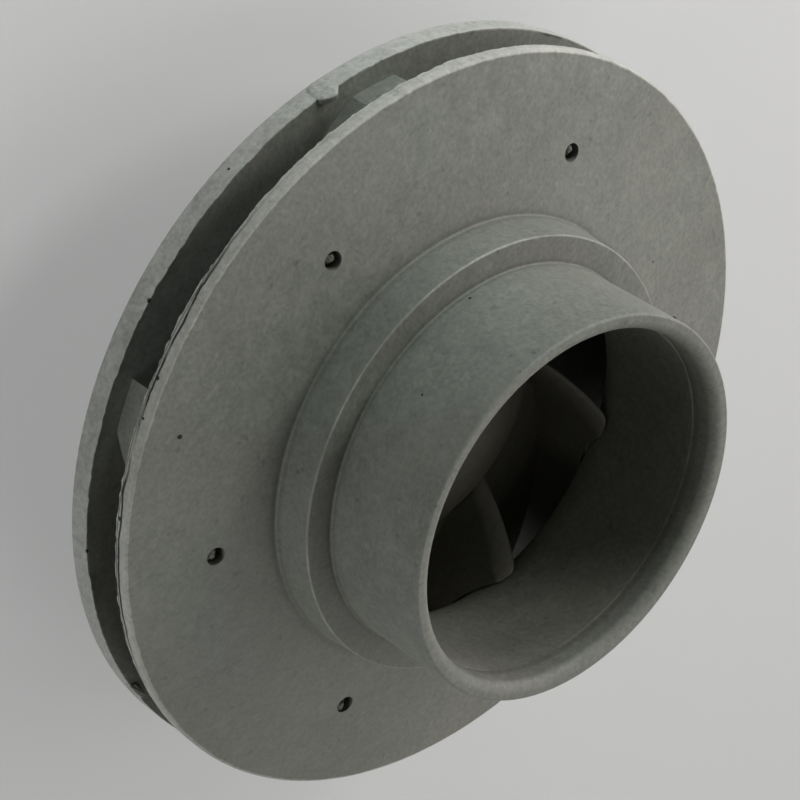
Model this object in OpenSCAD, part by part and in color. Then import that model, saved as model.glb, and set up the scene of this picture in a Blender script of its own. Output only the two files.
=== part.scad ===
// Closed centrifugal pump impeller with six backward-curved vanes.
// One moulding is the back shroud with the vanes, their pegs and the hub.
// A second moulding is the cover with its stepped neck, and a brass bush takes the motor shaft.
// The shaft axis is Z. The part stands on the end of its hub with the eye upwards.

/* [Shrouds] */
// Outside diameter of both shrouds
outer_d = 133; // [126:1:142]
// Thickness of the back shroud at its rim
back_t = 3.75; // [3:0.25:5]
// How much thicker the back shroud is beside the hub nose
back_rise = 1.15; // [0.5:0.05:2]
// Height of the outlet between the shrouds at the rim
outlet_h = 7.85; // [6:0.05:11]
// Thickness of the cover's conical wall, along the shaft axis
cover_t = 2.25; // [1.75:0.05:3.25]
// Slope of the cover's conical wall in degrees
cover_slope = 7.2; // [5:0.2:9]
// Rounding of the cover's front edge at the rim
rim_round = 0.5; // [0.2:0.1:0.8]

/* [Eye and neck] */
// Diameter of the eye, the bore that the water enters by
eye_d = 62.2; // [58:0.2:66]
// Wall thickness of the neck
neck_wall = 3.2; // [2.6:0.1:4]
// Height of the neck above the ring around its foot
neck_h = 20.5; // [14:0.1:26]
// Width of the ring around the foot of the neck
ring_w = 4.9; // [3.5:0.1:6]
// Height of that ring above the cover's face
ring_h = 7.3; // [5:0.1:9]
// How far the wall of the ring leans in towards its top
ring_draft = 0.35; // [0:0.05:0.6]
// Rounding of the ring's front edge
ring_round = 0.4; // [0.2:0.1:0.8]
// Fillet between the ring and the cover's face
ring_fillet = 0.5; // [0.3:0.1:2]
// Fillet between the ring and the neck
neck_fillet = 0.4; // [0.2:0.1:1.5]
// Height of the wider mouth at the top of the bore
mouth_h = 5.1; // [3.5:0.1:8]
// Width of the small ledge below the mouth
mouth_ledge = 0.15; // [0.1:0.05:0.4]
// Rounding between the mouth and the flat lip of the neck
mouth_round = 1.9; // [1.2:0.1:2.4]
// Rounding of the lip's outer edge
lip_round = 0.5; // [0.2:0.05:0.5]
// Radius of the throat, where the bore turns outwards into the cover
throat_r = 7.5; // [5:0.25:8.25]

/* [Vanes] */
// Number of vanes
vane_count = 6; // [5:1:7]
// How far the vane tips stand inside the rims
tip_setback = 3.5; // [2:0.25:6]
// Thickness of a vane at its tip
tip_t = 3.4; // [2.8:0.1:4.2]
// Thickness of a vane at its leading edge
lead_t = 2.6; // [2:0.1:3.2]
// Angle between a vane and the rim at the tip, in degrees
tip_angle = 23; // [21:0.5:26]
// Radius of the vane's outer arc, seen from the front
outer_arc = 47.1; // [45:0.1:50]
// Radius of the vane's inner arc, behind the leading edge
inner_arc = 20; // [17:0.5:26]
// How far inside the bore line the outer arc gives way to the inner one
bend_inset = 1.1; // [0.6:0.1:1.8]
// How far inside the bore line the leading edge starts
lead_inset = 0.65; // [0.5:0.05:1.5]
// Diameter on which the leading edges meet the hub nose
lead_foot_d = 46.4; // [44:0.2:49]
// Gap between the throat and the vanes, which the cover is lowered over
throat_gap = 0.35; // [0.25:0.05:0.6]

/* [Pegs] */
// Diameter of the circle that the pegs and their holes stand on
peg_circle_d = 101; // [94:0.5:108]
// Diameter of the holes through the cover
peg_hole_d = 3.2; // [2.8:0.1:3.8]
// Diameter of a peg at its foot
peg_foot_d = 2.3; // [1.8:0.1:2.6]
// Diameter of a peg at its top
peg_top_d = 1.5; // [1:0.1:1.8]
// How far the pegs end below the cover's face
peg_sink = 1; // [0.2:0.1:1.4]

/* [Hub] */
// Diameter of the hub behind the back shroud, where the shaft seal sits
hub_d = 19.05; // [18.5:0.05:22]
// Length of the hub behind the back shroud
hub_len = 22; // [16:0.5:28]
// Diameter of the raised seat around the foot of the hub
seat_d = 32; // [28:0.5:38]
// Height of that seat
seat_h = 2.5; // [1.5:0.1:4]
// Fillet at the foot of the hub and of its seat
hub_fillet = 1.2; // [0.8:0.1:1.8]
// Rounding of the hub's end and of the seat's edge
hub_round = 0.6; // [0.3:0.1:0.9]
// Diameter of the domed nose in front of the back shroud
nose_d = 54; // [51:0.5:58]
// Height of the nose above the back shroud
nose_h = 10.7; // [9:0.1:13]
// Fillet at the foot of the nose
nose_fillet = 3; // [1.5:0.1:5]

/* [Brass bush] */
// Outside diameter of the bush
bush_d = 14.3; // [13.5:0.1:15]
// Length of the bush and of its thread
bush_len = 22; // [16:0.5:25]
// Inside diameter of the thread, across its crests
thread_minor_d = 9.9; // [9:0.1:10.5]
// Chamfer at the mouth of the thread
thread_lead_in = 0.8; // [0.4:0.1:1.1]
// Number of flutes that keep the bush from turning
flute_count = 12; // [8:1:16]
// Height at which the flutes begin
flute_start = 6; // [3:0.5:9]
// Depth of the flutes and of the holding groove
key_depth = 0.5; // [0.3:0.05:0.7]
// Width of the holding groove around the bush
groove_w = 4; // [2:0.5:6]

/* [Hidden] */
$fn = 96;

moulding = [0.44, 0.44, 0.41];
brass = [0.72, 0.58, 0.30];
over = 1;

rim_r = outer_d / 2;
eye_r = eye_d / 2;
neck_r = eye_r + neck_wall;
ring_foot_r = neck_r + ring_w + ring_draft;
ring_top_r = neck_r + ring_w;

// Heights of the main faces above the hub's end
back_z = hub_len;
front_z = back_z + back_t;
nose_foot_z = front_z + back_rise;
ring_z = face_z(ring_foot_r) + ring_h;
lip_z = ring_z + neck_h;
mouth_z = lip_z - mouth_h;

// The cover's underside and face at a radius
function under_z(r) = front_z + outlet_h + (rim_r - r) * tan(cover_slope);
function face_z(r) = under_z(r) + cover_t;

// Centre of the throat's arc, inside the cover's corner
throat_c = [eye_r + throat_r, under_z(eye_r + throat_r) + throat_r / cos(cover_slope)];

// The nose is a cap of a sphere, with a fillet that touches it and the back shroud
nose_r = nose_d / 2;
nose_sphere_r = (nose_r * nose_r + nose_h * nose_h) / (2 * nose_h);
nose_c = [0, nose_foot_z + nose_h - nose_sphere_r];
nose_fillet_z = nose_foot_z + nose_fillet;
nose_fillet_c = [sqrt(pow(nose_sphere_r + nose_fillet, 2) - pow(nose_fillet_z - nose_c.y, 2)), nose_fillet_z];
function nose_z(r) = nose_c.y + sqrt(nose_sphere_r * nose_sphere_r - r * r);

function heading(a) = [cos(a), sin(a)];
function bearing(p) = atan2(p.y, p.x);

// Angle at the shaft between an arc's centre, off from the shaft, and the arc's point at radius r
function arc_turn(r, off, arc) = acos((r * r + off * off - arc * arc) / (2 * r * off));

// Outer arc of a vane: it meets the tip circle at the tip angle
tip_r = rim_r - tip_setback;
tip_bearing = 51.7;
outer_off = sqrt(tip_r * tip_r + outer_arc * outer_arc - 2 * tip_r * outer_arc * cos(tip_angle));
outer_c_bearing = tip_bearing - arc_turn(tip_r, outer_off, outer_arc);
outer_c = outer_off * heading(outer_c_bearing);

// Inner arc: it carries on from the outer arc near the top of the leading edge
bend_r = eye_r - bend_inset;
arcs_meet = bend_r * heading(outer_c_bearing + arc_turn(bend_r, outer_off, outer_arc));
inner_c = arcs_meet + (outer_c - arcs_meet) * inner_arc / outer_arc;

// Middle line of a vane and the way across it, at a radius
function mid_bearing(r) = r >= bend_r
    ? outer_c_bearing + arc_turn(r, outer_off, outer_arc)
    : bearing(inner_c) + arc_turn(r, norm(inner_c), inner_arc);
function vane_mid(r) = r * heading(mid_bearing(r));
function vane_across(r) = let (c = r >= bend_r ? outer_c : inner_c) (vane_mid(r) - c) / norm(vane_mid(r) - c);

// Both parts of a vane start inside the back shroud, a little apart in height
vane_foot_z = back_z + back_t / 2;
lead_foot_z = vane_foot_z + back_t / 10;

// The vane leaves the throat at this share of its radius, and only the leading part lies further in
join_share = 0.28;
join_r = throat_c.x - throat_r * join_share;
tip_heading = bearing(vane_mid(tip_r) - outer_c);
join_heading = bearing(vane_mid(join_r) - outer_c);

// The outline starts this far beyond the tip circle, in degrees along the outer arc
tip_spare = 12;

// The two sides of a vane are arcs whose centres stand apart, so that the vane thins inwards
side_shift = (tip_t - lead_t) / (4 * sin((join_heading - tip_heading) / 2));
side_shift_dir = heading((join_heading + tip_heading) / 2 + 90);
mean_t = (tip_t + lead_t) / 2;

// Crest of the leading part: it follows the throat at a gap until it is this steep, and a line from there
steepest = 2.5;
gap_r = throat_r + throat_gap;
steep_r = throat_c.x - gap_r * steepest / norm([1, steepest]);
function gap_z(r) = throat_c.y - sqrt(gap_r * gap_r - pow(throat_c.x - r, 2));
function rise_z(r) = r > steep_r ? gap_z(r) : gap_z(steep_r) + (steep_r - r) * steepest;

// The crest turns at its corner into the slanting leading edge, which ends inside the nose
crest_round = 0.6;
corner_r = eye_r - lead_inset;
lead_foot_r = lead_foot_d / 2;
lead_buried = 1.2;
lead_end_r = lead_foot_r - lead_buried;
lead_slope = (rise_z(corner_r) - nose_z(lead_foot_r)) / (corner_r - lead_foot_r);
function lead_z(r) = nose_z(lead_foot_r) + (r - lead_foot_r) * lead_slope;
function crest_z(r) = let (a = rise_z(r), b = lead_z(r)) (a + b - norm([a - b, crest_round])) / 2;

// The leading part is a loft: sections across the vane, each with a rounded crest
crest_points = 11;
lead_overlap = 0.5;
lead_start_r = join_r + lead_overlap;
side_relief = 0.02;
crest_depth = 0.1;
lead_depth = 1.8;
round_start = 1.5;

// Radii of the sections, closest together around the corner, where the crest turns
section_stops = [lead_start_r, eye_r + round_start, corner_r - round_start, lead_end_r];
section_steps = [6, 13, 9];
section_radii = [
    for (s = [0 : 2], i = [0 : section_steps[s] - 1])
        section_stops[s] + (section_stops[s + 1] - section_stops[s]) * i / section_steps[s],
    lead_end_r
];
section_count = len(section_radii);
function lead_share(r) = max(0, min(1, (eye_r + round_start - r) / (lead_inset + round_start)));
function round_depth(r) = crest_depth + (lead_depth - crest_depth) * lead_share(r);
function crest_point(r, a) =
    let (p = vane_mid(r) + vane_across(r) * (lead_t / 2 - side_relief) * sin(a))
    [p.x, p.y, crest_z(norm(p)) - round_depth(r) * (1 - cos(a))];
function section(r) =
    let (tops = [for (k = [0 : crest_points - 1]) crest_point(r, 180 * k / (crest_points - 1) - 90)])
    concat([[tops[0].x, tops[0].y, lead_foot_z]], tops,
        [[tops[crest_points - 1].x, tops[crest_points - 1].y, lead_foot_z]]);

// An angle brought to between -180 and 180 degrees
function wrapped(a) = (a + 540) % 360 - 180;

// Points of an arc about c between two headings, so close that no chord leaves the arc by more than this
arc_error = 0.004;
function arc_step(r) = 2 * acos(1 - arc_error / r);
function arc(c, r, from, to) =
    let (n = ceil(abs(to - from) / arc_step(r)))
    [for (i = [0 : n]) c + r * heading(from + (to - from) * i / n)];

// Points that round the corner p between its neighbours a and b
function rounded(a, p, b, r) =
    let (
        ua = (a - p) / norm(a - p),
        ub = (b - p) / norm(b - p),
        half = acos(ua * ub) / 2,
        c = p + (ua + ub) / norm(ua + ub) * r / sin(half),
        from = bearing(p + ua * r / tan(half) - c),
        turn = wrapped(bearing(p + ub * r / tan(half) - c) - from)
    )
    arc(c, r, from, from + turn);

// Half section of the cover's inner wall, from the rim through the throat to the top of the mouth
function inner_wall() =
    let (
        rim_back = [rim_r, under_z(rim_r)],
        bore_top = [eye_r, mouth_z],
        mouth_foot = [eye_r + mouth_ledge, mouth_z],
        mouth_top = [eye_r + mouth_ledge, lip_z]
    )
    concat(
        [rim_back],
        rounded(rim_back, [eye_r, under_z(eye_r)], bore_top, throat_r),
        [bore_top, mouth_foot],
        rounded(mouth_foot, mouth_top, [neck_r, lip_z], mouth_round)
    );

function outer_wall() =
    let (
        mouth_top = [eye_r + mouth_ledge, lip_z],
        lip = [neck_r, lip_z],
        neck_foot = [neck_r, ring_z],
        ring_top = [ring_top_r, ring_z],
        ring_foot = [ring_foot_r, face_z(ring_foot_r)],
        rim_front = [rim_r, face_z(rim_r)],
        rim_back = [rim_r, under_z(rim_r)]
    )
    concat(
        rounded(mouth_top, lip, neck_foot, lip_round),
        rounded(lip, neck_foot, ring_top, neck_fillet),
        rounded(neck_foot, ring_top, ring_foot, ring_round),
        rounded(ring_top, ring_foot, rim_front, ring_fillet),
        rounded(ring_foot, rim_front, rim_back, rim_round)
    );

module cover() {
    color(moulding) difference() {
        rotate_extrude() polygon(concat(inner_wall(), outer_wall()));
        for (k = [0 : vane_count - 1]) rotate(360 * k / vane_count)
            translate(vane_mid(peg_circle_d / 2))
                translate([0, 0, back_z]) cylinder(d = peg_hole_d, h = lip_z - back_z);
    }
}

// The space that the cover closes, with the eye above it
module passage() {
    wide_r = rim_r + over;
    rotate_extrude() polygon(concat(
        [[0, back_z], [wide_r, back_z], [wide_r, under_z(wide_r)]],
        inner_wall(),
        [[0, lip_z]]
    ));
}

// Back shroud with the nose in front and the hub behind
module back_shroud() {
    hub_end = [hub_d / 2, 0];
    hub_foot = [hub_d / 2, back_z - seat_h];
    seat_edge = [seat_d / 2, back_z - seat_h];
    seat_foot = [seat_d / 2, back_z];
    rim_back = [rim_r, back_z];
    to_nose = bearing(nose_c - nose_fillet_c);
    rotate_extrude() polygon(concat(
        [[0, 0]],
        rounded([0, 0], hub_end, hub_foot, hub_round),
        rounded(hub_end, hub_foot, seat_edge, hub_fillet),
        rounded(hub_foot, seat_edge, seat_foot, hub_round),
        rounded(seat_edge, seat_foot, rim_back, hub_fillet),
        [rim_back, [rim_r, front_z]],
        arc(nose_fillet_c, nose_fillet, -90, to_nose),
        arc(nose_c, nose_sphere_r, to_nose + 180 + arc_step(nose_sphere_r) / 2, 90)
    ));
}

// Outline of a vane seen from the front, from the tip circle in to the throat
module vane_outline() {
    reach = 2 * outer_arc;
    start = tip_heading - tip_spare;
    intersection() {
        difference() {
            translate(outer_c - side_shift * side_shift_dir) circle(outer_arc + mean_t / 2);
            translate(outer_c + side_shift * side_shift_dir) circle(outer_arc - mean_t / 2);
        }
        circle(tip_r);
        polygon([
            outer_c,
            outer_c + reach * heading(start),
            outer_c + reach * heading((start + join_heading) / 2),
            outer_c + reach * heading(join_heading)
        ]);
    }
}

module vane_leading_part() {
    ring = crest_points + 2;
    last = (section_count - 1) * ring;
    points = [for (r = section_radii) each section(r)];
    sides = [for (i = [0 : section_count - 2], j = [0 : ring - 1])
        let (a = i * ring + j, b = i * ring + (j + 1) % ring)
        each [[a, b + ring, b], [a, a + ring, b + ring]]];
    ends = [
        [for (j = [0 : ring - 1]) j],
        [for (j = [ring - 1 : -1 : 0]) last + j]
    ];
    polyhedron(points, concat(sides, ends), convexity = 4);
}

module vane() {
    peg_r = peg_circle_d / 2;
    peg_z = under_z(peg_r) - over;
    intersection() {
        translate([0, 0, vane_foot_z]) linear_extrude(ring_z - vane_foot_z) vane_outline();
        passage();
    }
    vane_leading_part();
    translate(vane_mid(peg_r)) translate([0, 0, peg_z])
        cylinder(d1 = peg_foot_d, d2 = peg_top_d, h = face_z(peg_r) - peg_sink - peg_z);
}

module impeller_body() {
    color(moulding) difference() {
        union() {
            back_shroud();
            for (k = [0 : vane_count - 1]) rotate(360 * k / vane_count) vane();
        }
        bush_blank();
    }
}

// Outside form of the bush, which the hub is moulded around
module bush_blank() {
    bush_r = bush_d / 2;
    difference() {
        cylinder(r = bush_r, h = bush_len);
        for (k = [0 : flute_count - 1]) rotate(360 * k / flute_count)
            translate([bush_r + key_depth, 0, flute_start])
                cylinder(r = 2 * key_depth, h = bush_len);
        translate([0, 0, (bush_len - groove_w) / 2]) difference() {
            cylinder(r = bush_r + over, h = groove_w);
            cylinder(r = bush_r - key_depth, h = groove_w);
        }
    }
}

module threaded_bush() {
    minor_r = thread_minor_d / 2;
    color(brass) difference() {
        bush_blank();
        translate([0, 0, -over]) cylinder(r = minor_r, h = bush_len + 2 * over);
        translate([0, 0, -over])
            cylinder(r1 = minor_r + thread_lead_in + over, r2 = minor_r, h = thread_lead_in + over);
    }
}

impeller_body();
cover();
threaded_bush();
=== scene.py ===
# %% [markdown]
# A closed pump impeller, dressed in Blender
#
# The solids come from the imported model: a back shroud with six vanes and a hub, a cover with a
# stepped neck, and a brass bush. They are a fixed frame. This lesson gives each surface its finish,
# adds what a mould and a tap leave behind on the real part, and lights it on a pale floor.
# Lengths are written in millimetres and turned to Blender's metres by the factor MM.

# %% Load the frame
import bpy
import bmesh
import math
from mathutils import Vector, Matrix


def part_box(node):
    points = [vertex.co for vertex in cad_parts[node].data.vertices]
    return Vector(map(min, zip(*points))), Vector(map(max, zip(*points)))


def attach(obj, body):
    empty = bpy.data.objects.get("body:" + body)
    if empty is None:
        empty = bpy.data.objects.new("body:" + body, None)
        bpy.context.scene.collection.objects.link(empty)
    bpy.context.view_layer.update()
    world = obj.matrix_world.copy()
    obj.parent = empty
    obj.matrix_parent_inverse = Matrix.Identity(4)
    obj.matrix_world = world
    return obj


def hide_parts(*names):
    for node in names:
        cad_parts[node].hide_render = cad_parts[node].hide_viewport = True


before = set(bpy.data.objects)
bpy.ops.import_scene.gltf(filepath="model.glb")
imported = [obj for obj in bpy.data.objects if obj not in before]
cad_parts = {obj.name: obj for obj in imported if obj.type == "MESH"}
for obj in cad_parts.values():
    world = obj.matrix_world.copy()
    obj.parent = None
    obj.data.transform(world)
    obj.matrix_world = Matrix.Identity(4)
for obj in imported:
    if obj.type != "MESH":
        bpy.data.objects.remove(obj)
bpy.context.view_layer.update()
MM = 0.001
print("nodes:", sorted(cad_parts))

# %% Sizes of the solids
# The frame gives the boxes. The other sizes are repeated from the part's source.
cover_low, cover_high = (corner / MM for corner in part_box("cover"))
cover_rear_z = cover_low.z
rim_r = 66.5
disc_front_z = 25.75
outlet_h = 7.85
cover_wall = 2.25
cover_slope = math.radians(7.2)
vane_count = 6
hole_circle_r = 50.5
hole_bearing = 75.7
hole_r = 1.6
middle = Vector((0, 0, 35)) * MM
print("cover from", round(cover_rear_z, 2), "to", round(cover_high.z, 2), "mm, rim radius", round(cover_high.x, 2))

# %% [markdown]
# The camera
#
# The photograph looks at the part from its eye side, with the shaft axis pointing down to the right.
# The part stands on its hub here, so the camera looks down at it from in front and is rolled until
# the neck points the same way as in the photograph. Its place, direction and lens were fitted to
# the photograph's outlines. A camera's own axes are the columns of its matrix.

# %% Place the camera
camera_data = bpy.data.cameras.new("photo_camera")
camera = bpy.data.objects.new("photo_camera", camera_data)
bpy.context.scene.collection.objects.link(camera)
camera_data.sensor_width = 36
camera_data.lens = 136.65
camera_data.clip_start = 0.01
camera_place = Vector((0.1, -397.0, 346.1)) * MM
view_way = Vector((0, 0.77643, -0.63021)).normalized()
right_way = Vector((-0.53188, 0.53367, 0.65750))
right_way = (right_way - view_way * right_way.dot(view_way)).normalized()
up_way = right_way.cross(view_way)
axes = Matrix((right_way, up_way, -view_way)).transposed()
camera.matrix_world = Matrix.Translation(camera_place) @ axes.to_4x4()
bpy.context.scene.camera = camera
print("camera is", round((camera_place - middle).length / MM), "mm from the part's middle")

# %% [markdown]
# Colour and nodes
#
# Colours are written as the hex values that a picture shows and turned to linear light, because
# that is what a shader mixes. One small function adds a node, sets its values and links its inputs.
# Some inputs go by number. On a colour Mix, 0 is the factor, and 6 and 7 are the colours below and
# above. On Map Range, 0 is the value, 1 and 2 are where it starts and ends, and 3 and 4 are what it
# becomes there, 0 and 1 unless they are given.

# %% Helpers for colour and nodes
def linear(hex_colour):
    channels = [int(hex_colour[i:i + 2], 16) / 255 for i in (1, 3, 5)]
    return [c / 12.92 if c <= 0.04045 else ((c + 0.055) / 1.055) ** 2.4 for c in channels] + [1.0]


def add_node(tree, kind, settings=None, links=None):
    node = tree.nodes.new("ShaderNode" + kind)
    for key, value in (settings or {}).items():
        if isinstance(key, int) or key in node.inputs:
            node.inputs[key].default_value = value
        else:
            setattr(node, key, value)
    for key, source in (links or {}).items():
        tree.links.new(source, node.inputs[key])
    return node


def new_material(name, roughness, metallic=0.0, ior=1.5):
    material = bpy.data.materials.new(name)
    material.use_nodes = True
    tree = material.node_tree
    shader = tree.nodes["Principled BSDF"]
    shader.inputs["Roughness"].default_value = roughness
    shader.inputs["Metallic"].default_value = metallic
    shader.inputs["IOR"].default_value = ior
    return material, tree, shader


# A Mix lays its upper colour over the lower one, or tints the lower one with it
OVER = {"data_type": "RGBA"}
TINT = {"data_type": "RGBA", "blend_type": "MULTIPLY"}
# A Map Range that starts and ends gently
SMOOTH = {"interpolation_type": "SMOOTHSTEP"}
print("mid grey #808080 is", round(linear("#808080")[0], 3), "in linear light")

# %% [markdown]
# The moulding's patterns
#
# The shrouds are moulded in a glass-filled engineering plastic. Such a moulding is mid grey and
# matt, with faint clouds where the melt flowed, blotches, and flecks where glass fibres lie at the
# skin. A flat colour would look like paint, so five noises of different size are laid over each
# other. They use Object coordinates, which are metres here, so a noise that repeats every few
# millimetres gets its scale from that length. The glass fibres themselves are about a hundredth
# of a millimetre thick and can't show, so the grain is drawn as coarse as the render needs.

# %% Noises and distances that the finishes share
def every(mm):
    return 1 / (mm * MM)


fray = 0.5


def skin_patterns(tree):
    place = add_node(tree, "TexCoord").outputs["Object"]
    skin = {"place": place}
    for name, size, settings in (("clouds", 14, {"Detail": 3.0, "Roughness": 0.6}),
                                 ("drift", 26, {"Detail": 1.0, "Distortion": 0.6}),
                                 ("swirls", 3.2, {"Detail": 5.0, "Roughness": 0.7, "Distortion": 0.5}),
                                 ("flecks", 1.7, {"Detail": 1.0}),
                                 ("grain", 0.8, {"Detail": 2.0})):
        noise = add_node(tree, "TexNoise", {"Scale": every(size), **settings}, {"Vector": place})
        skin[name] = noise.outputs["Fac"]

    # The height, the distance from the shaft axis, and both as a point of the section
    split = add_node(tree, "SeparateXYZ", {}, {0: place})
    skin["x"], skin["y"], skin["height"] = (split.outputs[axis] for axis in "XYZ")
    flat = add_node(tree, "VectorMath", {"operation": "MULTIPLY", 1: (1, 1, 0)}, {0: place})
    skin["radius"] = add_node(tree, "VectorMath", {"operation": "LENGTH"}, {0: flat.outputs[0]}).outputs["Value"]
    skin["section"] = add_node(tree, "CombineXYZ", {}, {0: skin["radius"], 1: skin["height"]}).outputs[0]
    # The same distance with up to half a millimetre of noise on it, for borders that fray
    skin["frayed"] = add_node(tree, "Math", {"operation": "MULTIPLY_ADD", 1: fray * MM},
                              {0: skin["swirls"], 2: skin["radius"]}).outputs[0]
    return skin

# %% [markdown]
# Mottled grey
#
# The base runs between a warmer and a cooler grey with the widest noise. On top of it the clouds,
# blotches and grain lighten and darken by a share of its brightness, and the blotches are stronger
# in some regions than in others. Only the peaks of the fleck noise are used: a pale fleck where a
# bundle of fibres shows, and a dark one where the skin has a pore.

# %% Lay the patterns over the grey
cloud_swing, blotch_swing, grain_swing = 0.075, 0.1, 0.11
pale_fleck, dark_fleck = 0.16, 0.25


def mottled_grey(tree, skin, greys):
    tone = add_node(tree, "Mix", {**OVER, 6: linear(greys[0]), 7: linear(greys[1])}, {0: skin["drift"]})
    total = add_node(tree, "MapRange", {1: 0.35, 2: 0.65, 3: 1 - cloud_swing, 4: 1 + cloud_swing},
                     {0: skin["clouds"]})
    uneven = add_node(tree, "MapRange", {1: 0.4, 2: 0.62, 3: 0.55, 4: 1.25}, {0: skin["drift"]})
    blotch = add_node(tree, "MapRange", {1: 0.38, 2: 0.62, 3: -blotch_swing, 4: blotch_swing}, {0: skin["swirls"]})
    blotch = add_node(tree, "Math", {"operation": "MULTIPLY"}, {0: blotch.outputs[0], 1: uneven.outputs[0]})
    grain = add_node(tree, "MapRange", {1: 0.35, 2: 0.65, 3: -grain_swing, 4: grain_swing}, {0: skin["grain"]})
    pale = add_node(tree, "MapRange", {1: 0.66, 2: 0.74, 4: pale_fleck}, {0: skin["flecks"]})
    dark = add_node(tree, "MapRange", {1: 0.24, 2: 0.32, 3: -dark_fleck, 4: 0.0}, {0: skin["flecks"]})
    for pattern in (blotch, grain, pale, dark):
        total = add_node(tree, "Math", {"operation": "ADD"}, {0: total.outputs[0], 1: pattern.outputs[0]})
    level = add_node(tree, "CombineColor", {}, {channel: total.outputs[0] for channel in range(3)})
    skin["level"] = level.outputs[0]
    return add_node(tree, "Mix", {**TINT, 0: 1.0}, {6: tone.outputs[2], 7: skin["level"]}).outputs[2]

# %% [markdown]
# Turned rim, a rubbed edge and a painted highlight
#
# The rim was turned to its diameter after moulding, which leaves it paler, and handling has rubbed
# the sharp top edge of the ring. The ledge in the neck's mouth gets a painted highlight: a pale line
# where its face would catch the light. All show the same pale tone with the moulding's own pattern.
# The rim starts at a distance from the axis. An edge is a ring, so it is a point of the section, and
# the distance from that point is its mask. Noise frays both and breaks the edges up.

# %% The paler rim, the rubbed edge and the painted highlight
# The first edge is the mouth's ledge with a painted highlight, the second the ring's rubbed edge
worn_and_highlit_edges = ((31.17, 61.96, 0.18), (39.12, 46.48, 0.12))    # radius, height, width


def paler_rim(tree, skin, colour, pale, rim_start, rim_end):
    rim = add_node(tree, "MapRange", {**SMOOTH, 1: rim_start * MM, 2: rim_end * MM}, {0: skin["frayed"]})
    pale_tone = add_node(tree, "Mix", {**TINT, 0: 1.0, 6: linear(pale)}, {7: skin["level"]})
    skin["pale"] = pale_tone.outputs[2]
    return add_node(tree, "Mix", OVER, {0: rim.outputs[0], 6: colour, 7: skin["pale"]}).outputs[2]


def rub_and_highlight(tree, skin, colour, edge_r, edge_z, width):
    away = add_node(tree, "VectorMath", {"operation": "DISTANCE", 1: (edge_r * MM, edge_z * MM, 0)},
                    {0: skin["section"]})
    ragged = add_node(tree, "Math", {"operation": "MULTIPLY_ADD", 1: fray * MM},
                      {0: skin["swirls"], 2: away.outputs["Value"]})
    # A pale line along the edge: real wear on the ring, a painted highlight on the ledge
    pale_edge_line = add_node(tree, "MapRange", {1: (width + 0.2) * MM, 2: (width + 0.36) * MM, 3: 0.6, 4: 0.0},
                      {0: ragged.outputs[0]})
    patchiness = add_node(tree, "MapRange", {1: 0.42, 2: 0.58, 3: 0.25, 4: 1.0}, {0: skin["clouds"]})
    pale_edge_line = add_node(tree, "Math", {"operation": "MULTIPLY"}, {0: pale_edge_line.outputs[0], 1: patchiness.outputs[0]})
    return add_node(tree, "Mix", OVER, {0: pale_edge_line.outputs[0], 6: colour, 7: skin["pale"]}).outputs[2]

# %% [markdown]
# Stain and painted shade in the eye
#
# Use leaves a brownish film in the eye, on the nose and on the inlet ends of the vanes. The tint
# is also darker than such a film, as painted shade for the dim eye and for the passages under the
# cover, so it is partly stain and partly painted shade. It tints the colour inside a radius, and a
# second, darker one past the eye is painted shade deep in the passages. Neither may reach the outer
# faces. On the cover, the height over its own cone tells its inner side from the face above. On the
# body, only what stands in front of the back shroud is tinted.

# %% The stain with painted shade, and where it may lie
stain_and_shade_fade = 3
eye_edge_r, passage_r = 34.5, 38


def under_the_cover(tree, skin):
    over_cone = add_node(tree, "Math", {"operation": "MULTIPLY_ADD", 1: math.tan(cover_slope)},
                         {0: skin["radius"], 2: skin["height"]})
    ceiling_z = cover_rear_z + rim_r * math.tan(cover_slope)
    return add_node(tree, "MapRange", {1: (ceiling_z + 1) * MM, 2: (ceiling_z + 1.2) * MM, 3: 1.0, 4: 0.0},
                    {0: over_cone.outputs[0]})


def before_the_disc(tree, skin):
    return add_node(tree, "MapRange", {1: (disc_front_z - 1) * MM, 2: disc_front_z * MM}, {0: skin["height"]})


def stain_and_shade(tree, skin, colour, stain_and_shade_r, stain_and_shade_side):
    stain_and_shade_mask = add_node(tree, "MapRange", {**SMOOTH, 1: (stain_and_shade_r - stain_and_shade_fade) * MM,
                                         2: (stain_and_shade_r + stain_and_shade_fade) * MM, 3: 1.0, 4: 0.0}, {0: skin["frayed"]})
    inside = stain_and_shade_side(tree, skin)
    stain_and_shade_mask = add_node(tree, "Math", {"operation": "MULTIPLY"}, {0: stain_and_shade_mask.outputs[0], 1: inside.outputs[0]})
    # A warm tint that is partly a brownish stain and partly painted shade in the eye
    colour = add_node(tree, "Mix", {**TINT, 7: linear("#aca69c")}, {0: stain_and_shade_mask.outputs[0], 6: colour}).outputs[2]
    # Past the eye a darker tint is painted shade in the passages
    past_eye = add_node(tree, "MapRange", {**SMOOTH, 1: eye_edge_r * MM, 2: passage_r * MM}, {0: skin["frayed"]})
    passage_shade = add_node(tree, "Math", {"operation": "MULTIPLY"}, {0: stain_and_shade_mask.outputs[0], 1: past_eye.outputs[0]})
    return add_node(tree, "Mix", {**TINT, 7: linear("#8f8b83")}, {0: passage_shade.outputs[0], 6: colour}).outputs[2]

# %% [markdown]
# Painted shade in the corners and in the peg holes
#
# The inner corners of the neck, the ring and the mouth are darkened softly with painted shade. In
# the peg holes the painted shade is nearly black and ends at the hole's edge. There are six holes,
# so instead of six masks the bearing is folded into one sixth of the circle, with the nearest hole
# in its middle. The mask also needs a lowest height, or six dots would show on the back of the body.

# %% Painted shade in the corners
shaded_corners = ((34.4, 46.65, 1.1), (39.7, 39.35, 1.6), (31.4, 62.5, 1.3))    # radius, height, reach


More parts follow.
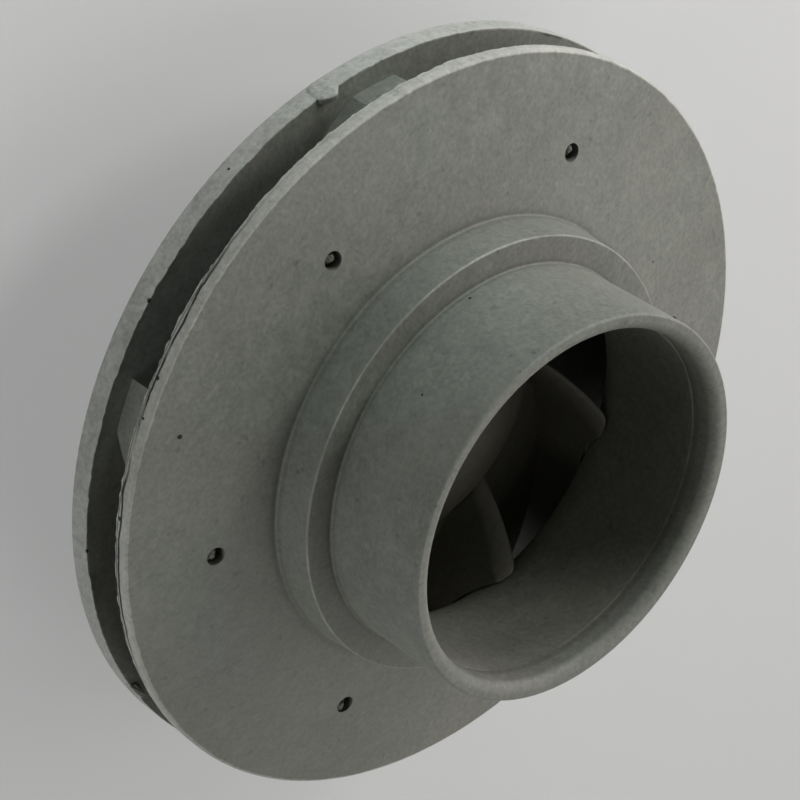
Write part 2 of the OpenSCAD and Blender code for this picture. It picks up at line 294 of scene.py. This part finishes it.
def corner_shade(tree, skin, colour, corner_r, corner_z, reach):
    away = add_node(tree, "VectorMath", {"operation": "DISTANCE", 1: (corner_r * MM, corner_z * MM, 0)},
                    {0: skin["section"]})
    dark_in_corner = add_node(tree, "MapRange", {**SMOOTH, 1: 0.2 * MM, 2: reach * MM, 3: 0.45, 4: 0.0},
                       {0: away.outputs["Value"]})
    # The darker tint is painted shade in the corner
    return add_node(tree, "Mix", {**TINT, 7: linear("#a5a39b")}, {0: dark_in_corner.outputs[0], 6: colour}).outputs[2]

# %% Painted shade in the holes
hole_shade_heights = (29, 31)


def hole_shade(tree, skin, colour, strength):
    sector = 2 * math.pi / vane_count
    angle = add_node(tree, "Math", {"operation": "ARCTAN2"}, {0: skin["y"], 1: skin["x"]})
    shifted = add_node(tree, "Math", {"operation": "SUBTRACT", 1: math.radians(hole_bearing) - sector / 2},
                       {0: angle.outputs[0]})
    folded = add_node(tree, "Math", {"operation": "FLOORED_MODULO", 1: sector}, {0: shifted.outputs[0]})
    turn = add_node(tree, "Math", {"operation": "SUBTRACT", 1: sector / 2}, {0: folded.outputs[0]})
    sine = add_node(tree, "Math", {"operation": "SINE"}, {0: turn.outputs[0]})
    cosine = add_node(tree, "Math", {"operation": "COSINE"}, {0: turn.outputs[0]})
    across = add_node(tree, "Math", {"operation": "MULTIPLY"}, {0: skin["radius"], 1: sine.outputs[0]})
    along = add_node(tree, "Math", {"operation": "MULTIPLY"}, {0: skin["radius"], 1: cosine.outputs[0]})
    spot = add_node(tree, "CombineXYZ", {}, {0: along.outputs[0], 1: across.outputs[0]})
    to_hole = add_node(tree, "VectorMath", {"operation": "DISTANCE", 1: (hole_circle_r * MM, 0, 0)},
                       {0: spot.outputs[0]})
    dark_in_hole = add_node(tree, "MapRange", {1: (hole_r - 0.06) * MM, 2: (hole_r + 0.03) * MM, 3: strength, 4: 0.0},
                     {0: to_hole.outputs["Value"]})
    above = add_node(tree, "MapRange", {1: hole_shade_heights[0] * MM, 2: hole_shade_heights[1] * MM}, {0: skin["height"]})
    dark_in_hole = add_node(tree, "Math", {"operation": "MULTIPLY"}, {0: dark_in_hole.outputs[0], 1: above.outputs[0]})
    skin["dull"] = dark_in_hole.outputs[0]
    # Nearly black painted shade inside the holes
    return add_node(tree, "Mix", {**OVER, 7: linear("#29281c")}, {0: dark_in_hole.outputs[0], 6: colour}).outputs[2]

# %% [markdown]
# A shaded groove, pits and nicks
#
# A dark, broken line of painted shade runs beside the cover's torn rear edge, in the groove between
# the rim and its fin, mostly on the side that faces the camera. It is a height that a noise makes
# wander, cut into lengths by the clouds. The pits and nicks are dark with painted shade. They are
# few and each has its own place, so each is a distance from a point, with a frayed outline. The
# masks of painted shade in the holes, the groove and the pits are also gathered, because the sheen
# is turned down there too.

# %% The painted shade line beside the torn edge
shade_line_bearing = math.radians(296)
shade_line_wander = 0.6


def add_dull(tree, skin, mask):
    skin["dull"] = add_node(tree, "Math", {"operation": "MAXIMUM"}, {0: skin["dull"], 1: mask}).outputs[0]


def groove_shade_line(tree, skin, colour, shade_line_z):
    ragged = add_node(tree, "TexNoise", {"Scale": every(5), "Detail": 4.0}, {"Vector": skin["place"]})
    wander = add_node(tree, "Math", {"operation": "MULTIPLY_ADD", 1: -2 * shade_line_wander * MM, 2: shade_line_wander * MM},
                      {0: ragged.outputs["Fac"]})
    offset = add_node(tree, "Math", {"operation": "ADD"}, {0: skin["height"], 1: wander.outputs[0]})
    beside = add_node(tree, "Math", {"operation": "SUBTRACT", 1: shade_line_z * MM}, {0: offset.outputs[0]})
    off_line = add_node(tree, "Math", {"operation": "ABSOLUTE"}, {0: beside.outputs[0]})
    line_shade = add_node(tree, "MapRange", {1: 0.14 * MM, 2: 0.32 * MM, 3: 0.95, 4: 0.0}, {0: off_line.outputs[0]})
    # Only on the rim's outside, in patches, and faint away from the side that faces the camera
    outside = add_node(tree, "MapRange", {1: (rim_r - 0.2) * MM, 2: (rim_r - 0.05) * MM}, {0: skin["radius"]})
    patchy = add_node(tree, "MapRange", {1: 0.32, 2: 0.46}, {0: skin["clouds"]})
    shade_line_way = Vector((math.cos(shade_line_bearing), math.sin(shade_line_bearing), 0))
    towards = add_node(tree, "VectorMath", {"operation": "DOT_PRODUCT", 1: shade_line_way}, {0: skin["place"]})
    near_side = add_node(tree, "MapRange", {1: 0.78 * rim_r * MM, 2: 0.9 * rim_r * MM, 3: 0.12},
                         {0: towards.outputs["Value"]})
    for mask in (outside, patchy, near_side):
        line_shade = add_node(tree, "Math", {"operation": "MULTIPLY"}, {0: line_shade.outputs[0], 1: mask.outputs[0]})
    add_dull(tree, skin, line_shade.outputs[0])
    # Near-black painted shade in the groove between the rim and its fin
    return add_node(tree, "Mix", {**OVER, 7: linear("#262621")}, {0: line_shade.outputs[0], 6: colour}).outputs[2]

# %% Pits and nicks, dark with painted shade
pits = ((60.2, 292.0, 36.65, 0.42), (47.4, 154.5, 38.26, 0.2), (34.3, 236.0, 47.95, 0.22),
        (34.3, 266.1, 54.8, 0.2), (66.5, 284.5, 34.3, 0.35), (66.5, 290.2, 34.3, 0.3),
        (66.5, 305.0, 33.9, 0.4))    # radius, bearing, height, size
rim_nicks = ((66.5, 313.8, 25.75, 0.35), (66.5, 276.5, 25.8, 0.4), (66.5, 256.3, 23.9, 0.25))


def pit_shade(tree, skin, colour, pit_r, bearing, pit_z, size):
    turn = math.radians(bearing)
    centre = Vector((pit_r * math.cos(turn), pit_r * math.sin(turn), pit_z)) * MM
    apart = add_node(tree, "VectorMath", {"operation": "DISTANCE", 1: centre}, {0: skin["place"]})
    ragged = add_node(tree, "Math", {"operation": "MULTIPLY_ADD", 1: 0.4 * MM},
                      {0: skin["grain"], 2: apart.outputs["Value"]})
    dark_in_pit = add_node(tree, "MapRange", {1: (size + 0.14) * MM, 2: (size + 0.26) * MM, 3: 0.92, 4: 0.0},
                      {0: ragged.outputs[0]})
    add_dull(tree, skin, dark_in_pit.outputs[0])
    # Each pit is darkened with near-black painted shade
    return add_node(tree, "Mix", {**OVER, 7: linear("#1d1d19")}, {0: dark_in_pit.outputs[0], 6: colour}).outputs[2]

# %% [markdown]
# The moulding as a material
#
# Now the steps are put together. The skin copies the mould's matt steel, so it is rough with a
# soft sheen and a fine relief, and the glass lifts its IOR a little above that of plain plastic.
# Where pits, holes and the groove are darkened with painted shade, the specular level drops too,
# so no sheen lightens them. The cover and the body are the same grey, and the body's rim is paler
# only at its very edge.

# %% One function for every grey piece
usual_sheen, pit_sheen = 0.5, 0.03


def moulded_finish(name, greys, pale, rim_start, rim_end, marks=(), edges=(), corners=(), shade_line_z=None,
                   stain_and_shade_r=None, stain_and_shade_side=None, in_holes=0.9):
    material, tree, shader = new_material(name, 0.62, ior=1.57)
    skin = skin_patterns(tree)
    colour = mottled_grey(tree, skin, greys)
    colour = paler_rim(tree, skin, colour, pale, rim_start, rim_end)
    if stain_and_shade_r:
        colour = stain_and_shade(tree, skin, colour, stain_and_shade_r, stain_and_shade_side)
    for edge in edges:
        colour = rub_and_highlight(tree, skin, colour, *edge)
    for corner in corners:
        colour = corner_shade(tree, skin, colour, *corner)
    colour = hole_shade(tree, skin, colour, in_holes)
    if shade_line_z:
        colour = groove_shade_line(tree, skin, colour, shade_line_z)
    for mark in marks:
        colour = pit_shade(tree, skin, colour, *mark)
    tree.links.new(colour, shader.inputs["Base Color"])

    # The sheen is turned down where painted shade lies
    sheen = add_node(tree, "MapRange", {3: usual_sheen, 4: pit_sheen}, {0: skin["dull"]})
    tree.links.new(sheen.outputs[0], shader.inputs["Specular IOR Level"])
    relief = add_node(tree, "Math", {"operation": "MULTIPLY_ADD", 1: 0.5}, {0: skin["grain"], 2: skin["swirls"]})
    bump = add_node(tree, "Bump", {"Strength": 0.5, "Distance": 0.15 * MM}, {"Height": relief.outputs[0]})
    tree.links.new(bump.outputs[0], shader.inputs["Normal"])
    print(name, "has", len(tree.nodes), "nodes")
    return material

# %% The cover's and the body's finish
moulded_greys = ("#727067", "#6c7067")
cover_finish = moulded_finish("glass_filled_cover", moulded_greys, "#a6a49b", 66.15, 66.45, pits, worn_and_highlit_edges,
                              shaded_corners, shade_line_z=cover_rear_z + 0.45, stain_and_shade_r=50,
                              stain_and_shade_side=under_the_cover)
body_finish = moulded_finish("glass_filled_body", moulded_greys, "#9f9e97", 66.4, 66.65, rim_nicks,
                             stain_and_shade_r=46, stain_and_shade_side=before_the_disc)
for name, finish in (("cover", cover_finish), ("impeller_body", body_finish)):
    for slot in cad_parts[name].material_slots:
        slot.material = finish
print("materials:", len(bpy.data.materials))

# %% [markdown]
# Modelling by hand
#
# New pieces start from a primitive at its size and place and are shaped in edit mode. An operator
# acts on all that is selected, so everything is deselected first. Points are then picked in code
# by their place, where a hand would drag a box around them. A finished piece has its place in its
# mesh, and its object sits at the origin. It rides on the body that carries it, and it is given its
# finish.

# %% Helpers for editing
def only(piece):
    bpy.ops.object.select_all(action="DESELECT")
    piece.select_set(True)
    bpy.context.view_layer.objects.active = piece


def edit_whole(piece):
    only(piece)
    bpy.ops.object.mode_set(mode="EDIT")
    bpy.ops.mesh.select_all(action="SELECT")


def end_edit():
    bpy.ops.object.mode_set(mode="OBJECT")


def pick(piece, test):
    bpy.ops.mesh.select_mode(type="VERT")
    points = bmesh.from_edit_mesh(piece.data)
    for point in points.verts:
        point.select_set(test(point.co / MM))
    points.select_flush(True)
    bmesh.update_edit_mesh(piece.data)

# %% Helpers for finishing
def apply_modifier(piece, kind, **settings):
    only(piece)
    modifier = piece.modifiers.new(kind, kind)
    for key, value in settings.items():
        setattr(modifier, key, value)
    bpy.ops.object.modifier_apply(modifier=modifier.name)


def roughen(piece, size, strength, direction="NORMAL", group=""):
    texture = bpy.data.textures.new("uneven_" + piece.name, "CLOUDS")
    texture.noise_scale = size * MM
    texture.noise_depth = 2
    apply_modifier(piece, "DISPLACE", texture=texture, texture_coords="GLOBAL", strength=strength * MM,
                   mid_level=0.5, direction=direction, vertex_group=group)


def settle(piece, finish):
    only(piece)
    bpy.ops.object.transform_apply(location=True, rotation=True, scale=True)
    piece.data.materials.clear()
    piece.data.materials.append(finish)
    bpy.ops.object.shade_smooth_by_angle(angle=math.radians(40))
    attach(piece, "root")
    print(piece.name, len(piece.data.polygons), "faces")

# %% [markdown]
# Flash along the rims
#
# Where two halves of a mould meet, a film of plastic squeezes into the parting and breaks off
# raggedly. The cover's rear edge shows it as a thin wavering fin, and the back shroud's front edge
# as a low burr. Each is a circle of points, extruded once into a ribbon. The free edge of the
# ribbon is a vertex group, so only that edge is moved by a cloud texture before the ribbon is
# given its thickness.

# %% A ribbon around a rim
def rim_ribbon(name, radius, z, forward, coarse, fine, thickness):
    # 1080 points around the rim are one every 0.4 mm, fine enough for the smaller waves
    bpy.ops.object.select_all(action="DESELECT")
    bpy.ops.mesh.primitive_circle_add(vertices=1080, radius=radius * MM, fill_type="NOTHING",
                                      location=(0, 0, z * MM))
    piece = bpy.context.object
    piece.name = name
    bpy.ops.object.transform_apply(location=True)
    edit_whole(piece)
    bpy.ops.mesh.extrude_region_move(TRANSFORM_OT_translate={"value": (0, 0, forward * MM)})
    bpy.ops.object.vertex_group_add()
    bpy.ops.object.vertex_group_assign()
    end_edit()
    free_edge = piece.vertex_groups[-1].name
    roughen(piece, 7, coarse, "Z", free_edge)
    roughen(piece, 1.6, fine, "Z", free_edge)
    apply_modifier(piece, "SOLIDIFY", thickness=thickness * MM, offset=0.0)
    edit_whole(piece)
    bpy.ops.mesh.normals_make_consistent(inside=False)
    end_edit()
    return piece

# %% [markdown]
# The fin and the burr
#
# The fin is thin broken plastic, which is rough and pale, so it gets a paler grey than the
# moulding, and the low burr keeps the body's own finish. On the side that faces the camera the
# fin's edge hangs down further, which a soft proportional move gives it.

# %% Cover's fin and back shroud's burr
fin_sag = 0.2
sag_from, sag_to = 268, 325    # degrees
flash_finish = moulded_finish("pale_flash", ("#9a9a91", "#96998f"), "#a6a69c", 60.0, 61.0)
cover_flash = rim_ribbon("cover_rear_flash", 66.42, cover_rear_z + 0.03, -0.16, 0.55, 0.75, 0.13)
bpy.ops.object.mode_set(mode="EDIT")
pick(cover_flash, lambda p: (p.z < cover_rear_z - 0.05
                             and sag_from < math.degrees(math.atan2(p.y, p.x)) % 360 < sag_to))
bpy.ops.transform.translate(value=(0, 0, -fin_sag * MM), use_proportional_edit=True,
                            proportional_size=3 * MM, proportional_edit_falloff="SMOOTH")
end_edit()
settle(cover_flash, flash_finish)
disc_burr = rim_ribbon("disc_front_burr", 66.39, disc_front_z - 0.2, 0.3, 0.7, 0.6, 0.2)
settle(disc_burr, body_finish)

# %% [markdown]
# Gate scars
#
# The plastic enters the mould through gates at the rim of the back shroud. Their stubs are torn off,
# which leaves a lump that stands a little proud of the rim, with a tongue towards the cover. Each is
# a box laid on the rim, subdivided, drawn out into its tongue, rounded and then roughened.

# %% Two torn gates on the rim
def gate_scar(name, bearing, width, low, high, proud, tongue):
    depth, tolerance, step_in = 1.2, 0.05, 0.1
    outside = rim_r + proud
    bpy.ops.object.select_all(action="DESELECT")
    bpy.ops.mesh.primitive_cube_add(size=1, location=((outside - depth / 2) * MM, 0, (low + high) / 2 * MM))
    piece = bpy.context.object
    piece.name = name
    piece.scale = (depth * MM, width * MM, (high - low) * MM)
    bpy.ops.object.transform_apply(location=True, scale=True)
    edit_whole(piece)
    bpy.ops.mesh.subdivide(number_cuts=5)
    # The outer edges sink into the rim, so the lump swells out of it
    pick(piece, lambda p: p.x > outside - tolerance and (abs(p.y) > width * 0.45 or p.z < low + tolerance))
    bpy.ops.transform.translate(value=(-(proud + step_in) * MM, 0, 0))
    # The tongue rises in two steps from the middle of the front edge
    pick(piece, lambda p: p.z > high - tolerance and abs(p.y) < width * 0.4)
    bpy.ops.transform.translate(value=(-step_in * MM, 0, tongue * 0.5 * MM))
    pick(piece, lambda p: p.z > high + tongue * 0.4 and abs(p.y) < width * 0.2)
    bpy.ops.transform.translate(value=(-step_in * MM, 0, tongue * 0.5 * MM))
    end_edit()
    apply_modifier(piece, "SUBSURF", levels=2, render_levels=2)
    roughen(piece, 1.6, 0.35)
    roughen(piece, 0.6, 0.2)
    piece.rotation_euler.z = math.radians(bearing)
    return piece


for scar in (gate_scar("gate_scar_upper", 239.3, 4.0, 21.95, 26.05, 0.22, 1.25),
             gate_scar("gate_scar_lower", 342.2, 3.3, 24.4, 26.3, 0.3, 1.1)):
    settle(scar, body_finish)

# %% [markdown]
# Peg ends
#
# Six pegs on the vanes pass into the cover's holes and are melted a little, which holds the cover.
# Their ends are uneven blobs that lie about a millimetre below the face. One is modelled from a
# subdivided ball that is flattened and roughened, and the others are copies of it with their own
# meshes. Melted plastic stays the moulding's grey with only a little of the holes' painted shade on
# it, and every blob has its own size, turn and place in its hole.

# %% One melted end and five copies
peg_sink = 1.0
peg_top_z = disc_front_z + outlet_h + (rim_r - hole_circle_r) * math.tan(cover_slope) + cover_wall - peg_sink
bpy.ops.object.select_all(action="DESELECT")
bpy.ops.mesh.primitive_ico_sphere_add(subdivisions=4, radius=0.85 * MM, location=(0, 0, 0))
first_end = bpy.context.object
first_end.name = "peg_end_1"
edit_whole(first_end)
bpy.ops.transform.resize(value=(1, 0.85, 0.55), center_override=(0, 0, 0))
end_edit()
roughen(first_end, 0.9, 0.45)
roughen(first_end, 0.3, 0.12)
peg_ends = [first_end]
for number in range(2, vane_count + 1):
    peg_end = bpy.data.objects.new("peg_end_" + str(number), first_end.data.copy())
    bpy.context.scene.collection.objects.link(peg_end)
    peg_ends.append(peg_end)
print("peg ends:", len(peg_ends), "at height", round(peg_top_z, 2), "mm")

# %% Set them in their holes
# The peg ends take a little of the holes' painted shade
peg_finish = moulded_finish("melted_peg_plastic", moulded_greys, "#727067", 66.4, 66.65, in_holes=0.3)
end_shapes = ((1.0, 0.0, 0), (0.8, 0.2, 90), (0.8, 0.35, 200), (1.1, 0.1, 250), (1.1, 0.65, 285),
              (0.85, 0.7, 355))    # size, distance off the hole's centre, and its bearing
for i, (peg_end, (size, off, lean)) in enumerate(zip(peg_ends, end_shapes)):
    bearing = math.radians(hole_bearing + 360 / vane_count * i)
    lean = math.radians(lean)
    # An end that leans to the wall also climbs it
    peg_end.location = Vector((hole_circle_r * math.cos(bearing) + off * math.cos(lean),
                               hole_circle_r * math.sin(bearing) + off * math.sin(lean),
                               peg_top_z + off * 0.5)) * MM
    # Each is turned by 97 degrees more, so that no two look alike
    peg_end.rotation_euler.z = math.radians(97 * i)
    peg_end.scale = (size, size, size)
    settle(peg_end, peg_finish)

# %% [markdown]
# The threaded bush
#
# The motor shaft screws into a brass bush that is moulded into the hub. The solid has a plain bore,
# so a real thread of 7/16 inch is cut here as a tap would cut it: one tooth of the thread is drawn
# point by point, swept into a screw, closed at its ends and taken away from a copy of the bush. The
# tap's core is a little thinner than the bore, so that no two faces lie on each other.

# %% Draw one pitch of the thread and sweep it
inch, threads_per_inch = 25.4, 20
pitch = inch / threads_per_inch
turns = 20
core_r, tooth_r = 4.9, 5.55
tooth_h = tooth_r - core_r
flank = tooth_h * math.tan(math.radians(30))
tooth_flat = pitch / 8
core_flat = (pitch - tooth_flat - 2 * flank) / 2
bpy.ops.object.select_all(action="DESELECT")
bpy.ops.mesh.primitive_plane_add(size=MM, location=(0, 0, 0))
tap = bpy.context.object
tap.name = "tap"
edit_whole(tap)
bpy.ops.mesh.merge(type="CENTER")
bpy.ops.transform.translate(value=(core_r * MM, 0, -pitch * MM))
for out, along in ((0, core_flat), (tooth_h, flank), (0, tooth_flat), (-tooth_h, flank), (0, core_flat)):
    bpy.ops.mesh.extrude_vertices_move(TRANSFORM_OT_translate={"value": (out * MM, 0, along * MM)})
end_edit()
apply_modifier(tap, "SCREW", angle=2 * math.pi, screw_offset=pitch * MM, iterations=turns, steps=72,
               render_steps=72, use_merge_vertices=True, merge_threshold=1e-6)
print("tap:", len(tap.data.polygons), "faces, pitch", round(pitch, 2), "mm")

# %% Close the tap's two ends
tap_middle_z = 10
edit_whole(tap)
bpy.ops.mesh.remove_doubles(threshold=1e-6)
for upper in (False, True):
    bpy.ops.mesh.select_mode(type="VERT")
    bpy.ops.mesh.select_all(action="DESELECT")
    bpy.ops.mesh.select_non_manifold()
    points = bmesh.from_edit_mesh(tap.data)
    for point in points.verts:
        if point.select and (point.co.z / MM > tap_middle_z) != upper:
            point.select_set(False)
    points.select_flush(False)
    bmesh.update_edit_mesh(tap.data)
    bpy.ops.mesh.extrude_region_move(TRANSFORM_OT_translate={"value": (0, 0, 0)})
    bpy.ops.mesh.merge(type="CENTER")
bpy.ops.mesh.select_all(action="SELECT")
bpy.ops.mesh.normals_make_consistent(inside=False)
end_edit()
print("closed tap:", len(tap.data.polygons), "faces")

# %% Cut the bush with it
bush = bpy.data.objects.new("brass_bush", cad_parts["threaded_bush"].data.copy())
bpy.context.scene.collection.objects.link(bush)
edit_whole(bush)
bpy.ops.mesh.remove_doubles(threshold=1e-6)
end_edit()
apply_modifier(bush, "BOOLEAN", operation="DIFFERENCE", object=tap, solver="EXACT")
bpy.data.objects.remove(tap)
# The cut leaves slivers, so close points are merged and the rest is made of clean triangles
edit_whole(bush)
bpy.ops.mesh.remove_doubles(threshold=0.02 * MM)
bpy.ops.mesh.quads_convert_to_tris(quad_method="BEAUTY", ngon_method="BEAUTY")
bpy.ops.mesh.dissolve_degenerate(threshold=0.005 * MM)
end_edit()
print("bush:", len(bush.data.polygons), "faces")

# %% [markdown]
# Brass
#
# Free-cutting brass is turned and tapped, so it is yellow metal with fine rings from the tool's
# feed of about 0.2 mm, and it tarnishes in patches of a few millimetres. A noise that is squeezed
# across the axis gives the rings, and metal keeps the default IOR.

# %% The bush's finish
brass, brass_tree, brass_shader = new_material("free_cutting_brass", 0.32, metallic=1.0)
brass_place = add_node(brass_tree, "TexCoord").outputs["Object"]
squeezed = add_node(brass_tree, "Mapping", {"Scale": (0.04, 0.04, 1)}, {"Vector": brass_place})
feed = add_node(brass_tree, "TexNoise", {"Scale": every(0.18), "Detail": 2.0}, {"Vector": squeezed.outputs[0]})
tarnish = add_node(brass_tree, "TexNoise", {"Scale": every(4), "Detail": 3.0}, {"Vector": brass_place})
brass_colour = add_node(brass_tree, "Mix", {**OVER, 6: linear("#c8a75c"), 7: linear("#a98a4a")},
                        {0: tarnish.outputs["Fac"]})
brass_tree.links.new(brass_colour.outputs[2], brass_shader.inputs["Base Color"])
brass_bump = add_node(brass_tree, "Bump", {"Strength": 0.25, "Distance": 0.02 * MM},
                      {"Height": feed.outputs["Fac"]})
brass_tree.links.new(brass_bump.outputs[0], brass_shader.inputs["Normal"])
settle(bush, brass)
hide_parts("threaded_bush")
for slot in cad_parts["threaded_bush"].material_slots:
    slot.material = brass

# %% [markdown]
# Floor and world
#
# The floor is plain pale paper, which throws some light up at the rims and the underside. To the
# camera and in reflections, part of its paleness is its own light, so that it stays an even
# backdrop with a soft shadow far from the lamps too. The world is nearly white to the camera, to
# reflections and through glass, and dim otherwise, so that it adds little light to the part.

# %% Floor
def seen_directly(tree):
    rays = add_node(tree, "LightPath")
    seen = rays.outputs["Is Camera Ray"]
    for kind in ("Is Glossy Ray", "Is Transmission Ray"):
        seen = add_node(tree, "Math", {"operation": "MAXIMUM"}, {0: seen, 1: rays.outputs[kind]}).outputs[0]
    return seen


own_share = 0.3
bpy.ops.object.select_all(action="DESELECT")
bpy.ops.mesh.primitive_plane_add(size=12, location=(0, 0, 0))
floor = bpy.context.object
floor.name = "studio_floor"
paper, paper_tree, paper_shader = new_material("pale_paper", 0.9)
floor_seen = seen_directly(paper_tree)
paper_tone = add_node(paper_tree, "Mix", {**OVER, 6: linear("#dcdcda"), 7: linear("#a8a8a7")}, {0: floor_seen})
paper_tree.links.new(paper_tone.outputs[2], paper_shader.inputs["Base Color"])
paper_shader.inputs["Emission Color"].default_value = linear("#f0f0ee")
own_light = add_node(paper_tree, "Math", {"operation": "MULTIPLY", 1: own_share}, {0: floor_seen})
paper_tree.links.new(own_light.outputs[0], paper_shader.inputs["Emission Strength"])
floor.data.materials.append(paper)
print("floor:", floor.dimensions.x, "m wide")

# %% World
dim, shown = 0.05, 0.9
world = bpy.data.worlds.new("studio")
bpy.context.scene.world = world
world.use_nodes = True
sky = world.node_tree
backdrop = sky.nodes["Background"]
backdrop.inputs["Color"].default_value = linear("#f4f4f2")
strength = add_node(sky, "MapRange", {3: dim, 4: shown}, {0: seen_directly(sky)})
sky.links.new(strength.outputs[0], backdrop.inputs["Strength"])
print("world strength:", dim, "on the part and", shown, "to the camera")

# %% [markdown]
# Lamps
#
# The wall of the eye that faces the camera is dark in the photograph, so most light comes from
# four large soft boxes behind the part, above it and at its left. Four small panels close to it
# lift its round walls. Two of them are a little cooler and one is warmer, as the walls are in the
# photograph, and the two lowest are narrowed to 90 degrees, or they would burn out the floor
# beside them. Each lamp is named for where it stands when the part is seen from the camera's side.
# It is given by its bearing and elevation in degrees, its distance and width in metres, and its
# power in watts.

# %% Soft boxes and panels
def soft_lamp(name, azimuth, elevation, distance, size, watts, hex_colour="#ffffff", spread=180):
    lamp_data = bpy.data.lights.new(name, "AREA")
    lamp_data.shape = "DISK"
    lamp_data.size = size
    lamp_data.energy = watts
    lamp_data.spread = math.radians(spread)
    lamp_data.color = linear(hex_colour)[:3]
    lamp = bpy.data.objects.new(name, lamp_data)
    bpy.context.scene.collection.objects.link(lamp)
    turn, rise = math.radians(azimuth), math.radians(elevation)
    way = Vector((math.cos(turn) * math.cos(rise), math.sin(turn) * math.cos(rise), math.sin(rise)))
    lamp.location = middle + way * distance
    lamp.rotation_euler = (-way).to_track_quat("-Z", "Y").to_euler()
    lamp.visible_camera = False


soft_lamp("rear_left_softbox", 125, 46, 1.2, 0.8, 2.8)
soft_lamp("rear_right_softbox", 62, 46, 1.2, 0.8, 1.75)
soft_lamp("left_softbox", 180, 40, 1.2, 0.6, 0.85)
soft_lamp("top_softbox", 90, 75, 1.2, 0.8, 1.0)
soft_lamp("left_high_panel", 180, 30, 0.45, 0.15, 0.7)
soft_lamp("left_low_panel", 210, 6, 0.45, 0.12, 0.195, "#ecfaff", 90)
soft_lamp("front_right_low_panel", 330, 4, 0.45, 0.1, 0.115, "#f2faff", 90)
soft_lamp("rear_left_low_panel", 150, 16, 0.45, 0.15, 0.41, "#fff0ee")
print("lamps:", len(bpy.data.lights))

# %% [markdown]
# Colour management and the end
#
# Standard shows a colour about as it is written.

# %% Colour management
bpy.context.scene.view_settings.view_transform = "Standard"
